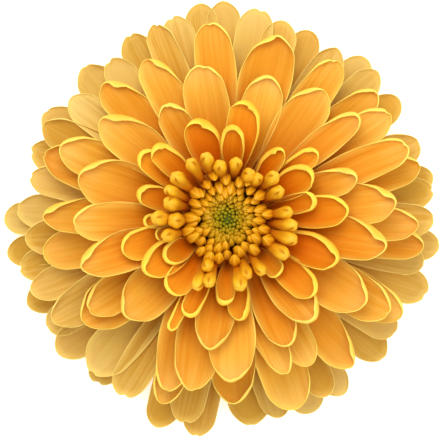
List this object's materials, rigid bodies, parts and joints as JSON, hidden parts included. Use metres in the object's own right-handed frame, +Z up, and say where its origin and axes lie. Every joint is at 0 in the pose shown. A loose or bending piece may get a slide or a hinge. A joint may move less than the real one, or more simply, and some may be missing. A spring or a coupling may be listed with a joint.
{
  "type": "chrysanthemum bloom",
  "caption": "Single cut cremon chrysanthemum flower head, orange petals with yellow rims round a yellow-green eye, lying face up on a short stub of stem.",
  "frame": {"origin": "centre of the bounding box at the bottom, on the surface that the lowest petals and the cut stub touch", "axes": "+Z up along the flower's axis, through its face; +Y towards the top of the picture, +X towards its right"},
  "size_m": [0.1209, 0.121, 0.0408],
  "materials": {
    "stem": "matt green stem with fine ribs",
    "bract": "matt green, paler dry margins",
    "outer_petal": "soft, slightly translucent, yellow-orange",
    "middle_petal": "soft, slightly translucent, orange with thin yellow rims",
    "inner_petal": "soft, deep orange inside, yellow reverse and rims",
    "club": "smooth, golden, waxy",
    "eye": "closed buds, green in the middle, yellow at the rim"
  },
  "bodies": {
    "root": {"stem_and_receptacle": "stem", "involucre": "bract", "outer_ray_florets": "outer_petal", "middle_ray_florets": "middle_petal", "inner_ray_florets": "inner_petal", "club_florets": "club", "eye_buds": "eye"}
  },
  "joints": []
}
